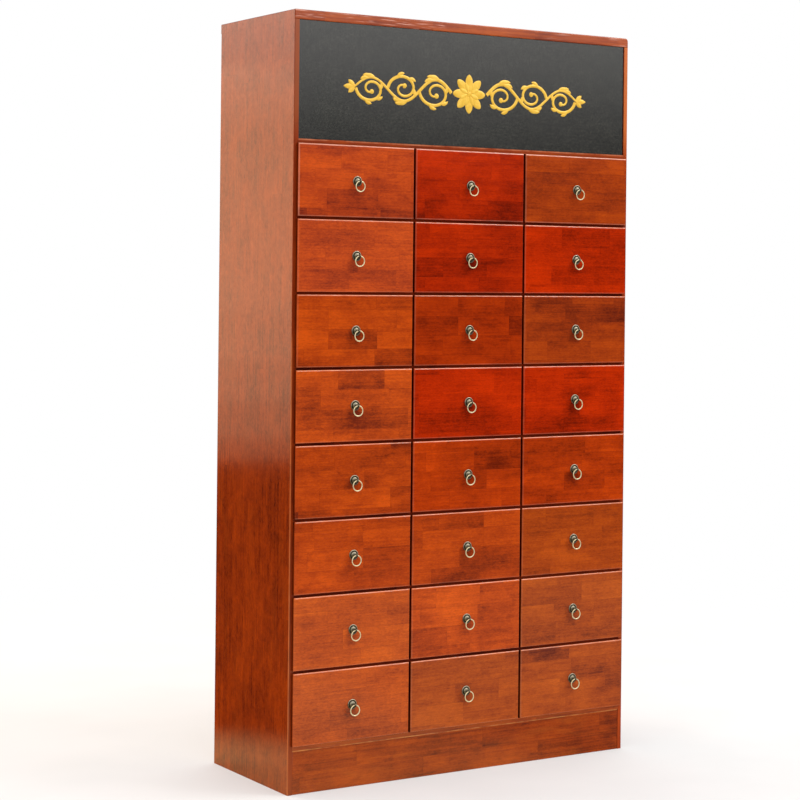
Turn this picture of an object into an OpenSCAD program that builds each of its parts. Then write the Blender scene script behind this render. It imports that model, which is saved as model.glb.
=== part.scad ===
/* [Drawer grid] */
// Number of drawer rows, from the base to the sign
rows = 8; // [4:1:8]
// Width of one drawer face
front_w = 340; // [240:1:400]
// Height of one drawer face
front_h = 182; // [150:1:210]
// Thickness of one drawer face
front_t = 10; // [8:0.5:14]
// Gap between drawer faces side by side
col_gap = 6; // [4:0.5:9]
// Gap between drawer faces one above the other
row_gap = 6.5; // [4:0.5:9]
// How far the outer faces lap over the edge of a side panel
side_lap = 4; // [3:0.5:6]
// Rounding of the front edges of a drawer face
front_edge_r = 3.5; // [1:0.5:4.5]

/* [Carcass] */
// Depth of the side panels, front to back
carcass_d = 400; // [390:1:480]
// Thickness of the side panels
side_t = 13; // [12:0.5:20]
// Thickness of the top board
top_t = 25; // [18:1:40]
// Thickness of the shelves, of the floor and of the rail under the sign
shelf_t = 15; // [13:0.5:20]
// Thickness of the two upright dividers
divider_t = 15; // [13:0.5:18]
// Thickness of the back panel
back_t = 6; // [4:0.5:8]
// Width of the rebate that holds the back panel
rebate_w = 6; // [4:0.5:8]
// How far the back panel stops above the ground
back_lift = 12; // [0:1:60]
// Depth of the housings that carry shelf and divider ends
housing_d = 4; // [2:0.5:5]
// How far behind the front edge the side housings stop
housing_stop = 14; // [8:1:40]

/* [Base and sign] */
// Height of the plinth under the floor
plinth_h = 110; // [60:1:160]
// Thickness of the plinth board
plinth_t = 15; // [12:0.5:22]
// How far the plinth stands behind the side panels' edges
plinth_setback = 0.5; // [0:0.5:4]
// Height of the sign board's field
sign_h = 297; // [150:1:400]
// Thickness of the sign board
sign_t = 8; // [5:0.5:12]
// How far the sign stands behind the side panels' edges
sign_setback = 3; // [0:0.5:6]

/* [Edge roundings] */
// Rounding of the top board's upper end edges
top_end_r = 9; // [2:0.5:12]
// Rounding of the top board's front edges
top_front_r = 3; // [1:0.5:8]
// Rounding of the side panels' outer upright edges
corner_r = 2.5; // [1:0.5:5]
// Rounding under the side panels' feet
foot_r = 5; // [1:0.5:8]
// Rounding of the plinth's upper front edge
plinth_edge_r = 2; // [0.5:0.5:4]

/* [Drawer box] */
// Height of the box sides
box_h = 150; // [80:1:151]
// Length of the box, front to back
box_len = 370; // [250:1:375]
// Thickness of the box boards
box_t = 9; // [7:0.5:12]
// Thickness of the box bottom
bottom_t = 4; // [3:0.5:6]
// Depth of the grooves that hold the bottom
groove_d = 4; // [2:0.5:5]
// Height of the bottom above the box's lower edge
bottom_up = 8; // [5:0.5:15]
// Distance of each fixing screw from the middle of the face
face_screw_x = 110; // [60:1:120]
// Radius of the fixing screws' shank
face_screw_r = 1.6; // [1.2:0.1:2]
// Radius of the fixing screws' head
face_screw_head_r = 3.6; // [3:0.1:5]
// How deep the fixing screws enter the face
face_screw_bite = 5; // [3:0.5:6]

/* [Ring pull] */
// Height of the pull above the middle of the face
pull_up = 0; // [-20:1:20]
// Radius of the round backplate
rosette_r = 13; // [8:0.5:16]
// Height of the backplate's dome
rosette_t = 4.4; // [3:0.2:6]
// Distance of the eye's hole in front of the face
eye_reach = 15; // [13:0.5:20]
// Radius of the eye
eye_r = 4.2; // [3.8:0.1:5]
// Width of the eye along its hole
eye_w = 4.4; // [3.5:0.1:5]
// Radius of the stem between backplate and eye
stem_r = 2.6; // [2.3:0.1:3]
// Radius of the threaded shank through the face
shank_r = 2; // [1.5:0.1:2.2]
// Width of the nut across its flats
nut_flats = 7; // [6:0.5:9]
// Thickness of the nut
nut_t = 3.2; // [2:0.1:4]
// Radius of the ring, to the middle of its wire
ring_r = 13; // [11:0.5:16]
// Radius of the ring's wire
wire_r = 1.5; // [1.2:0.1:1.8]

/* [Clearances] */
// Running gap under a drawer box
run_clear = 0.3; // [0.2:0.1:1]
// Gap between a closed drawer face and the carcass
lap_clear = 0.3; // [0.2:0.1:1]
// Gap at each side of a drawer box
side_play = 1; // [0.5:0.1:2]
// Glue or fitting gap between fixed pieces
fit_clear = 0.1; // [0.05:0.05:0.2]
// Play of the ring's wire in the eye's hole
eye_play = 0.55; // [0.5:0.05:0.7]

/* [Back panel screws] */
// Radius of the screws' shank
screw_r = 1.7; // [1.2:0.1:2]
// Radius of the screws' sunk head
screw_head_r = 3.6; // [3:0.1:4.5]
// Height of the screws' sunk head
screw_head_h = 2.2; // [1.5:0.1:3]
// Length of the screws
screw_len = 25; // [15:1:40]

/* [Hidden] */
$fn = 48;
cols = 3;
over = 1;

wood = [0.62, 0.25, 0.12];
face_wood = [0.68, 0.24, 0.10];
side_wood = [0.70, 0.38, 0.26];
plain_wood = [0.80, 0.64, 0.45];
sign_black = [0.20, 0.20, 0.19];
old_metal = [0.45, 0.43, 0.36];
ring_metal = [0.82, 0.76, 0.58];
steel = [0.70, 0.71, 0.72];

col_pitch = front_w + col_gap;
row_pitch = front_h + row_gap;
shelf_lap = (shelf_t - row_gap) / 2;
divider_lap = (divider_t - col_gap) / 2;
side_reveal = side_t - side_lap;
cabinet_w = cols * front_w + (cols - 1) * col_gap + 2 * side_reveal;
inner_w = cabinet_w - 2 * side_t;

floor_z = plinth_h;
first_face_z = floor_z + shelf_t - shelf_lap;
last_face_top = first_face_z + rows * row_pitch - row_gap;
rail_z = last_face_top - shelf_lap;
sign_z = rail_z + shelf_t;
side_h = sign_z + sign_h;
cabinet_h = side_h + top_t;

carcass_y = -(carcass_d + lap_clear + front_t + eye_reach + eye_r) / 2
    + eye_r + eye_reach + front_t + lap_clear;
face_y = carcass_y - lap_clear - front_t;
back_y = carcass_y + carcass_d;
shelf_d = carcass_d - back_t - fit_clear;
half_d = shelf_d / 2;

box_x = divider_lap + side_play;
box_w = front_w - 2 * box_x;
box_y = front_t + fit_clear;
box_z = shelf_lap + run_clear;
pull_z = front_h / 2 + pull_up;
bolt_tail = 2;
point_len = 1.6;
head_t = 2;
screw_rows = [rows, rows - 2, rows - 4, 2];

drawer_ids = [for (r = [1:rows], c = [1:cols]) [r, c]];

// Left edge of the faces in column c, counted from the left
function face_x(c) = -cabinet_w / 2 + side_reveal + (c - 1) * col_pitch;
// Lower edge of the faces in row r, counted from the top
function face_z(r) = first_face_z + (rows - r) * row_pitch;
// Underside of the shelf below row r
function shelf_z(r) = face_z(r) + shelf_lap - shelf_t;
// Middle of the divider at the right of column c
function divider_x(c) = face_x(c) + front_w + col_gap / 2;
// Middle of the bay in column c
function bay_x(c) = face_x(c) + front_w / 2;

// Cuts one corner of a flat outline to a radius, the corner at the origin
module corner_cut(r) {
    difference() {
        translate([-over, -over]) square(r + over);
        translate([r, r]) circle(r);
    }
}

// Rectangle with a radius for each corner, from the lower left round to the upper left
module outline(w, h, c) {
    difference() {
        square([w, h]);
        if (c[0] > 0) corner_cut(c[0]);
        if (c[1] > 0) translate([w, 0]) mirror([1, 0]) corner_cut(c[1]);
        if (c[2] > 0) translate([w, h]) mirror([1, 0]) mirror([0, 1]) corner_cut(c[2]);
        if (c[3] > 0) translate([0, h]) mirror([0, 1]) corner_cut(c[3]);
    }
}

// Outline drawn in X and Z, run along Y from 0 to d
module run_y(d) {
    translate([0, d, 0]) rotate([90, 0, 0]) linear_extrude(d) children();
}

// Outline drawn in Y and Z, run along X from 0 to w
module run_x(w) {
    rotate([90, 0, 90]) linear_extrude(w) children();
}

// Turned piece that points out of the cabinet's front
module turned_front(points) {
    rotate([90, 0, 0]) rotate_extrude() polygon(points);
}

// Sunk screw that points into the back, its head flush at the origin
module back_screw(grow) {
    rotate([90, 0, 0]) rotate_extrude() polygon([
        [0, -grow],
        [screw_head_r + grow, -grow],
        [screw_head_r + grow, grow * 0.5],
        [screw_r + grow, screw_head_h],
        [screw_r + grow, screw_len - point_len],
        [0, screw_len + grow]]);
}

// Places of the back panel's screws: floor, some shelves and the rail
module at_back_screws() {
    heights = concat([for (r = screw_rows) shelf_z(r) + shelf_t / 2], [rail_z + shelf_t / 2]);
    for (z = heights, c = [1:cols])
        translate([bay_x(c), back_y, z]) children();
}

module side_panel() {
    difference() {
        intersection() {
            linear_extrude(side_h) outline(side_t, carcass_d, [corner_r, 0, 0, corner_r]);
            run_y(carcass_d) outline(side_t, side_h, [foot_r, 0, 0, 0]);
        }
        for (z = concat([floor_z, rail_z], [for (r = [1:rows - 1]) shelf_z(r)]))
            translate([side_t - housing_d, housing_stop, z - fit_clear])
                cube([housing_d + over, carcass_d, shelf_t + 2 * fit_clear]);
        translate([side_t - rebate_w, carcass_d - back_t, back_lift])
            cube([rebate_w + over, back_t + over, side_h]);
    }
}

module left_side_panel() {
    color(side_wood)
        translate([-cabinet_w / 2, carcass_y, 0]) side_panel();
}

module right_side_panel() {
    color(wood)
        translate([cabinet_w / 2, carcass_y, 0]) mirror([1, 0, 0]) side_panel();
}

module top_board() {
    color(wood)
        translate([-cabinet_w / 2, carcass_y, side_h + fit_clear])
            intersection() {
                run_y(carcass_d)
                    outline(cabinet_w, top_t - fit_clear, [0, 0, top_end_r, top_end_r]);
                run_x(cabinet_w)
                    outline(carcass_d, top_t - fit_clear, [top_front_r / 2, 0, 0, top_front_r]);
            }
}

module sign_board() {
    color(sign_black)
        translate([-inner_w / 2 + fit_clear, carcass_y + sign_setback, sign_z + fit_clear])
            cube([inner_w - 2 * fit_clear, sign_t, sign_h - 2 * fit_clear]);
}

// Board across the whole inside, with ends that enter the side housings
module cross_board() {
    translate([-inner_w / 2 + fit_clear, 0, 0])
        cube([inner_w - 2 * fit_clear, shelf_d, shelf_t]);
    translate([-inner_w / 2 - housing_d + fit_clear, housing_stop + fit_clear, 0])
        cube([inner_w + 2 * housing_d - 2 * fit_clear,
              shelf_d - housing_stop - fit_clear, shelf_t]);
}

// Slots for the dividers, from y0 back, between heights z0 and z1
module divider_slots(y0, z0, z1) {
    for (c = [1:cols - 1])
        translate([divider_x(c) - divider_t / 2 - fit_clear, y0, z0])
            cube([divider_t + 2 * fit_clear, carcass_d, z1 - z0]);
}

module sign_rail() {
    color(wood)
        difference() {
            translate([0, carcass_y, rail_z]) cross_board();
            divider_slots(carcass_y - over, rail_z - over, rail_z + housing_d);
            at_back_screws() back_screw(fit_clear);
        }
}

module floor_panel() {
    color(wood)
        difference() {
            translate([0, carcass_y, floor_z]) cross_board();
            divider_slots(carcass_y - over, floor_z + shelf_t - housing_d,
                          floor_z + shelf_t + over);
            at_back_screws() back_screw(fit_clear);
        }
}

module drawer_shelves() {
    color(wood)
        difference() {
            for (r = [1:rows - 1])
                translate([0, carcass_y, shelf_z(r)]) cross_board();
            divider_slots(carcass_y + half_d - fit_clear, floor_z, rail_z);
            at_back_screws() back_screw(fit_clear);
        }
}

// Upright board, slotted from the front half way back over each shelf
module divider(c) {
    foot_z = floor_z + shelf_t - housing_d + fit_clear;
    head_z = rail_z + housing_d - fit_clear;
    color(wood)
        difference() {
            translate([divider_x(c) - divider_t / 2, carcass_y, foot_z])
                cube([divider_t, shelf_d, head_z - foot_z]);
            for (r = [1:rows - 1])
                translate([divider_x(c) - divider_t, carcass_y - over, shelf_z(r) - fit_clear])
                    cube([2 * divider_t, half_d + over + fit_clear, shelf_t + 2 * fit_clear]);
        }
}

module plinth_board() {
    color(wood)
        translate([-inner_w / 2 + fit_clear, carcass_y + plinth_setback, 0])
            run_x(inner_w - 2 * fit_clear)
                outline(plinth_t, plinth_h - fit_clear, [0, 0, 0, plinth_edge_r]);
}

module back_panel() {
    panel_w = inner_w + 2 * rebate_w - 2 * fit_clear;
    color(plain_wood)
        difference() {
            translate([-panel_w / 2, back_y - back_t + fit_clear, back_lift + fit_clear])
                cube([panel_w, back_t - fit_clear, side_h - back_lift - 2 * fit_clear]);
            at_back_screws() back_screw(fit_clear);
        }
}

module back_panel_screws() {
    color(steel)
        at_back_screws() translate([0, -fit_clear, 0]) back_screw(0);
}

// Face board with rounded front edges, bored for the pull and the fixing screws
module face_board() {
    color(face_wood)
        difference() {
            intersection() {
                linear_extrude(front_h)
                    outline(front_w, front_t, [front_edge_r, front_edge_r, 0, 0]);
                run_x(front_w)
                    outline(front_t, front_h, [front_edge_r, 0, 0, front_edge_r]);
            }
            translate([front_w / 2, front_t / 2, pull_z]) rotate([90, 0, 0])
                cylinder(r = shank_r + fit_clear, h = front_t + 2 * over, center = true);
            at_face_screws() face_screw(fit_clear);
        }
}

// Groove round the inside of the box for its bottom
module bottom_groove() {
    translate([box_x + box_t - groove_d, box_y + box_t - groove_d,
               box_z + bottom_up - fit_clear])
        cube([box_w - 2 * box_t + 2 * groove_d, box_len - 2 * box_t + 2 * groove_d,
              bottom_t + 2 * fit_clear]);
}

module box_boards() {
    end_w = box_w - 2 * box_t - 2 * fit_clear;
    color(plain_wood)
        difference() {
            union() {
                for (x = [box_x, box_x + box_w - box_t])
                    translate([x, box_y, box_z]) cube([box_t, box_len, box_h]);
                for (y = [box_y, box_y + box_len - box_t])
                    translate([box_x + box_t + fit_clear, y, box_z])
                        cube([end_w, box_t, box_h]);
            }
            bottom_groove();
            translate([front_w / 2, box_y + box_t / 2, pull_z]) rotate([90, 0, 0])
                cylinder(r = shank_r + fit_clear, h = box_t + 2 * over, center = true);
            at_face_screws() face_screw(fit_clear);
        }
}

module box_bottom() {
    color(plain_wood)
        translate([box_x + box_t - groove_d + fit_clear,
                   box_y + box_t - groove_d + fit_clear, box_z + bottom_up])
            cube([box_w - 2 * box_t + 2 * groove_d - 2 * fit_clear,
                  box_len - 2 * box_t + 2 * groove_d - 2 * fit_clear, bottom_t]);
}

module at_face_screws() {
    for (s = [-1, 1])
        translate([front_w / 2 + s * face_screw_x, box_y + box_t, box_z + box_h / 2])
            children();
}

// Screw from inside the box into the face, its head's underside at the origin
module face_screw(grow) {
    reach = box_t + fit_clear + face_screw_bite;
    head = grow > 0 ? 0 : head_t;
    head_r = grow > 0 ? face_screw_r + grow : face_screw_head_r;
    turned_front([
        [0, -head - grow],
        [head_r, -head - grow],
        [head_r, 0],
        [face_screw_r + grow, 0],
        [face_screw_r + grow, reach],
        [0, reach + point_len + grow]]);
}

// Stepped and domed backplate
module rosette() {
    bore = shank_r + fit_clear;
    color(old_metal)
        translate([front_w / 2, 0, pull_z])
            turned_front([
                [bore, fit_clear],
                [rosette_r, fit_clear],
                [rosette_r, rosette_t * 0.28],
                [rosette_r * 0.9, rosette_t * 0.38],
                [rosette_r * 0.8, rosette_t * 0.38],
                [rosette_r * 0.74, rosette_t * 0.6],
                [rosette_r * 0.6, rosette_t * 0.82],
                [rosette_r * 0.42, rosette_t * 0.95],
                [rosette_r * 0.28, rosette_t],
                [bore, rosette_t]]);
}

// Eye bolt: pierced eye, stem and shank that runs through face and box
module eye_bolt() {
    tail = front_t + box_t + 3 * fit_clear + nut_t + bolt_tail;
    stem_z = rosette_t + fit_clear;
    color(old_metal)
        translate([front_w / 2, 0, pull_z])
            difference() {
                union() {
                    turned_front([
                        [0, -tail],
                        [shank_r, -tail],
                        [shank_r, stem_z],
                        [stem_r, stem_z],
                        [stem_r, eye_reach],
                        [0, eye_reach]]);
                    translate([0, -eye_reach, 0]) intersection() {
                        sphere(eye_r);
                        cube([eye_w, 3 * eye_r, 3 * eye_r], center = true);
                    }
                }
                translate([0, -eye_reach, 0]) rotate([0, 90, 0])
                    cylinder(r = wire_r + eye_play, h = 4 * eye_r, center = true);
            }
}

module pull_nut() {
    color(steel)
        translate([front_w / 2, box_y + box_t + fit_clear + nut_t, pull_z])
            rotate([90, 0, 0]) difference() {
                cylinder(d = nut_flats / cos(30), h = nut_t, $fn = 6);
                translate([0, 0, -over])
                    cylinder(r = shank_r + fit_clear, h = nut_t + 2 * over);
            }
}

// Whole drawer: face, box, bottom, screws and the fixed half of the pull
module drawer(r, c) {
    translate([face_x(c), face_y, face_z(r)]) {
        face_board();
        box_boards();
        box_bottom();
        color(steel) at_face_screws() translate([0, fit_clear, 0]) face_screw(0);
        rosette();
        eye_bolt();
        pull_nut();
    }
}

// Ring that hangs in the eye
module pull_ring(r, c) {
    color(ring_metal)
        translate([bay_x(c), face_y - eye_reach, face_z(r) + pull_z - ring_r])
            rotate([90, 0, 0]) rotate_extrude() translate([ring_r, 0]) circle(wire_r);
}

left_side_panel();
right_side_panel();
top_board();
sign_board();
sign_rail();
floor_panel();
plinth_board();
divider(1);  // left_divider
divider(2);  // right_divider
drawer_shelves();
back_panel();
back_panel_screws();
for (id = drawer_ids)
    drawer(id[0], id[1]);
for (id = drawer_ids)
    pull_ring(id[0], id[1]);
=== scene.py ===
import math
import random
import bpy
import bmesh
from mathutils import Matrix, Vector


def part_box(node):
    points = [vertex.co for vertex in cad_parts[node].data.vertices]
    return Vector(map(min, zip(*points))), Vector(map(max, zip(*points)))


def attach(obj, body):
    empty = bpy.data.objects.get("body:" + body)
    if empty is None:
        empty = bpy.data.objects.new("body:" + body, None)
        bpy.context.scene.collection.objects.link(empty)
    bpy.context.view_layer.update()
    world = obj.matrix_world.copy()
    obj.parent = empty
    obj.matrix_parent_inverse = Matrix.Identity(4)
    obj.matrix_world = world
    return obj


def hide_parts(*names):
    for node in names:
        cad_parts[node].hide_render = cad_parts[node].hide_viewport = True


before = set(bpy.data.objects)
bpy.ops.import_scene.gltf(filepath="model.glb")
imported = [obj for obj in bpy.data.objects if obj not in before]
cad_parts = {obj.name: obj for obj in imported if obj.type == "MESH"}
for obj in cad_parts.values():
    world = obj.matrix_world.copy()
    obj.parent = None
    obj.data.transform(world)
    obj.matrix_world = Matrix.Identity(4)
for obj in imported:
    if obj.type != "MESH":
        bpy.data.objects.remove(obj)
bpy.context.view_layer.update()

MM = 0.001
EPS = 1e-6
ROWS, COLS = 8, 3

# Sizes from the frame
side_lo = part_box("left_side_panel")[0]
top_lo, top_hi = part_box("top_board")
sign_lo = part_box("sign_board")[0]
plinth_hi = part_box("plinth_board")[1]
LEFT, FRONT = side_lo[0], side_lo[1]


# Small tools
def srgb(r, g, b):
    """Colour written as 0 to 255, in the linear values that a shader takes."""
    def linear(v):
        v /= 255.0
        return v / 12.92 if v <= 0.04045 else ((v + 0.055) / 1.055) ** 2.4
    return (linear(r), linear(g), linear(b), 1.0)


def new_object(name, bm, mats, body, nodes=(), sharp=35):
    """A piece from bm that rides body and replaces the CAD nodes; edges over sharp degrees stay hard."""
    mesh = bpy.data.meshes.new(name)
    bmesh.ops.recalc_face_normals(bm, faces=bm.faces)
    bm.to_mesh(mesh)
    bm.free()
    for mat in mats:
        mesh.materials.append(mat)
    mesh.polygons.foreach_set("use_smooth", [True] * len(mesh.polygons))
    mesh.set_sharp_from_angle(angle=math.radians(sharp))
    mesh.update()
    ob = bpy.data.objects.new(name, mesh)
    bpy.context.scene.collection.objects.link(ob)
    # broad faces stay flat and only their rounded edges are shaded round
    weighted = ob.modifiers.new("flat_faces", "WEIGHTED_NORMAL")
    weighted.keep_sharp = True
    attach(ob, body)
    if nodes:
        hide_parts(*nodes)
    return ob


def add_box(bm, lo, hi, mat=0):
    """A cuboid; returns its vertices."""
    verts = bmesh.ops.create_cube(bm, size=1.0)["verts"]
    for v in verts:
        v.co = Vector([lo[i] + (v.co[i] + 0.5) * (hi[i] - lo[i]) for i in range(3)])
    for f in {f for v in verts for f in v.link_faces}:
        f.material_index = mat
    return verts


def round_edges(bm, verts, r, pick, segments=4):
    """Rounds the edges among verts for which pick(a, b) is true."""
    edges = [e for e in {e for v in verts for e in v.link_edges} if pick(e.verts[0].co, e.verts[1].co)]
    bmesh.ops.bevel(bm, geom=edges, offset=r, segments=segments, profile=0.5, affect="EDGES",
                    clamp_overlap=True)


def lathe(bm, profile, centre, segs=40):
    """Turns (radius, height) points about an axis that points out of the cabinet's front."""
    rings = []
    for r, h in profile:
        if r < EPS:
            rings.append([bm.verts.new(centre + Vector((0, -h, 0)))])
            continue
        turns = [2 * math.pi * i / segs for i in range(segs)]
        rings.append([bm.verts.new(centre + Vector((r * math.cos(a), -h, r * math.sin(a)))) for a in turns])
    for a, b in zip(rings, rings[1:]):
        for i in range(segs):
            j = (i + 1) % segs
            corners = [a[i % len(a)], a[j % len(a)], b[j % len(b)], b[i % len(b)]]
            corners = list(dict.fromkeys(corners))
            if len(corners) > 2:
                bm.faces.new(corners)


# Node helpers
class Tree:
    """A material with its node tree and its Principled shader."""

    def __init__(self, name):
        self.material = bpy.data.materials.new(name)
        self.material.use_nodes = True
        self.tree = self.material.node_tree
        self.tree.nodes.clear()
        self.output = self.node("ShaderNodeOutputMaterial")
        self.shader = self.node("ShaderNodeBsdfPrincipled")
        self.put(self.output.inputs[0], self.shader.outputs[0])

    def node(self, kind, **settings):
        node = self.tree.nodes.new(kind)
        for name, value in settings.items():
            setattr(node, name, value)
        return node

    def put(self, socket, value):
        """Links a socket or sets a plain value."""
        if isinstance(value, bpy.types.NodeSocket):
            self.tree.links.new(value, socket)
        else:
            socket.default_value = value

    def math(self, op, a, b=0.0, c=0.0):
        node = self.node("ShaderNodeMath", operation=op)
        for i, value in enumerate((a, b, c)):
            self.put(node.inputs[i], value)
        return node.outputs[0]

    def times(self, a, b):
        return self.math("MULTIPLY", a, b)

    def minus(self, a, b):
        return self.math("SUBTRACT", a, b)

    def times_add(self, a, b, c):
        return self.math("MULTIPLY_ADD", a, b, c)

    def distance(self, a, b):
        """Length of the plane vector (a, b)."""
        return self.math("SQRT", self.math("ADD", self.times(a, a), self.times(b, b)))

    def coords(self):
        place = self.node("ShaderNodeTexCoord")
        split = self.node("ShaderNodeSeparateXYZ")
        self.put(split.inputs[0], place.outputs["Object"])
        return split.outputs[0], split.outputs[1], split.outputs[2]

    def vec(self, x, y, z):
        node = self.node("ShaderNodeCombineXYZ")
        for i, value in enumerate((x, y, z)):
            self.put(node.inputs[i], value)
        return node.outputs[0]

    def noise(self, vec, scale=1.0, detail=3.0, rough=0.55, distort=0.0):
        node = self.node("ShaderNodeTexNoise")
        self.put(node.inputs["Vector"], vec)
        node.inputs["Scale"].default_value = scale
        node.inputs["Detail"].default_value = detail
        node.inputs["Roughness"].default_value = rough
        node.inputs["Distortion"].default_value = distort
        return node.outputs["Fac"]

    def white(self, vec):
        """One random value for each place."""
        node = self.node("ShaderNodeTexWhiteNoise", noise_dimensions="3D")
        self.put(node.inputs["Vector"], vec)
        return node.outputs["Value"]

    def ramp(self, fac, stops):
        node = self.node("ShaderNodeValToRGB")
        elements = node.color_ramp.elements
        while len(elements) < len(stops):
            elements.new(0.5)
        for element, (position, colour) in zip(elements, stops):
            element.position = position
            element.color = colour if len(colour) == 4 else (*colour, 1.0)
        self.put(node.inputs[0], fac)
        return node.outputs[0]

    def span(self, value, a, b, lo=0.0, hi=1.0, smooth=False):
        """value from a to b, mapped to lo to hi and held there."""
        node = self.node("ShaderNodeMapRange")
        node.interpolation_type = "SMOOTHSTEP" if smooth else "LINEAR"
        for i, v in enumerate((value, a, b, lo, hi)):
            self.put(node.inputs[i], v)
        return node.outputs[0]

    def mix(self, fac, a, b):
        node = self.node("ShaderNodeMix", data_type="RGBA", blend_type="MIX")
        self.put(node.inputs["Factor"], fac)
        self.put(node.inputs[6], a)
        self.put(node.inputs[7], b)
        return node.outputs[2]

    def bump(self, height, strength, distance, normal=None):
        node = self.node("ShaderNodeBump")
        node.inputs["Strength"].default_value = strength
        node.inputs["Distance"].default_value = distance
        self.put(node.inputs["Height"], height)
        if normal is not None:
            self.put(node.inputs["Normal"], normal)
        return node.outputs[0]


# Marks in a lacquered board: noise per metre along and across the grain, its detail, roughness
# and distortion
SMUDGE = (9.0, 30.0, 3.0, 0.6, 0.9)
STREAK = (2.6, 150.0, 4.0, 0.62, 0.25)
GRAIN = (16.0, 620.0, 3.0, 0.6, 0.15)
GLOW = (6.5, 20.0, 3.0, 0.55, 0.6)
CLOUD = (20.0, 27.0, 2.0, 0.5, 0.8)
FLECK = (140.0, 280.0, 2.0, 0.7, 0.0)
PORE = (55.0, 1000.0, 1.0, 0.5, 0.0)
PALE_STREAK = (14.0, 260.0, 2.0, 0.6, 0.3)
PALE_STREAK_TONE = (222, 158, 138)
CORNER_HIGHLIGHT_TONE = (226, 128, 70)


def painted_rim_highlight(t, point, col, rim, tone):
    """Painted highlight along a face's rounded rim, as its attribute 'edge' says."""
    edge = t.node("ShaderNodeAttribute", attribute_name="edge")
    wobble = t.noise(point, 38.0, 3.0, 0.6)
    amount = t.times(edge.outputs["Fac"], t.span(wobble, 0.3, 0.7, 0.55 * rim, rim))
    return t.mix(amount, col, srgb(*tone))


def painted_arris_highlight(t, x, z, col, arris_z, tone):
    """Painted highlight along the long edge at height arris_z, broken into lengths."""
    off = t.math("ABSOLUTE", t.minus(z, arris_z))
    broken = t.noise(t.vec(t.times(x, 9.0), 0.0, 4.0), 1.0, 4.0, 0.7)
    amount = t.times(t.span(off, 2.0 * MM, 3.2 * MM, 1.0, 0.0), t.span(broken, 0.42, 0.62, 0.10, 0.95))
    return t.mix(amount, col, srgb(*tone))


def painted_corner_highlight(t, x, y, z, col, corner_x, corner_y, top_z, much):
    """Painted highlight along the upright corner, up to the height top_z."""
    away = t.distance(t.minus(x, corner_x), t.minus(y, corner_y))
    broken = t.noise(t.vec(0.0, 9.0, t.times(z, 14.0)), 1.0, 3.0, 0.6)
    below_top = t.span(z, top_z, top_z + 30 * MM, 1.0, 0.0)
    amount = t.times(t.span(away, 1.2 * MM, 2.8 * MM, much, 0.0),
                     t.times(below_top, t.span(broken, 0.3, 0.6, 0.5, 1.0)))
    return t.mix(amount, col, srgb(*CORNER_HIGHLIGHT_TONE))


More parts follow.
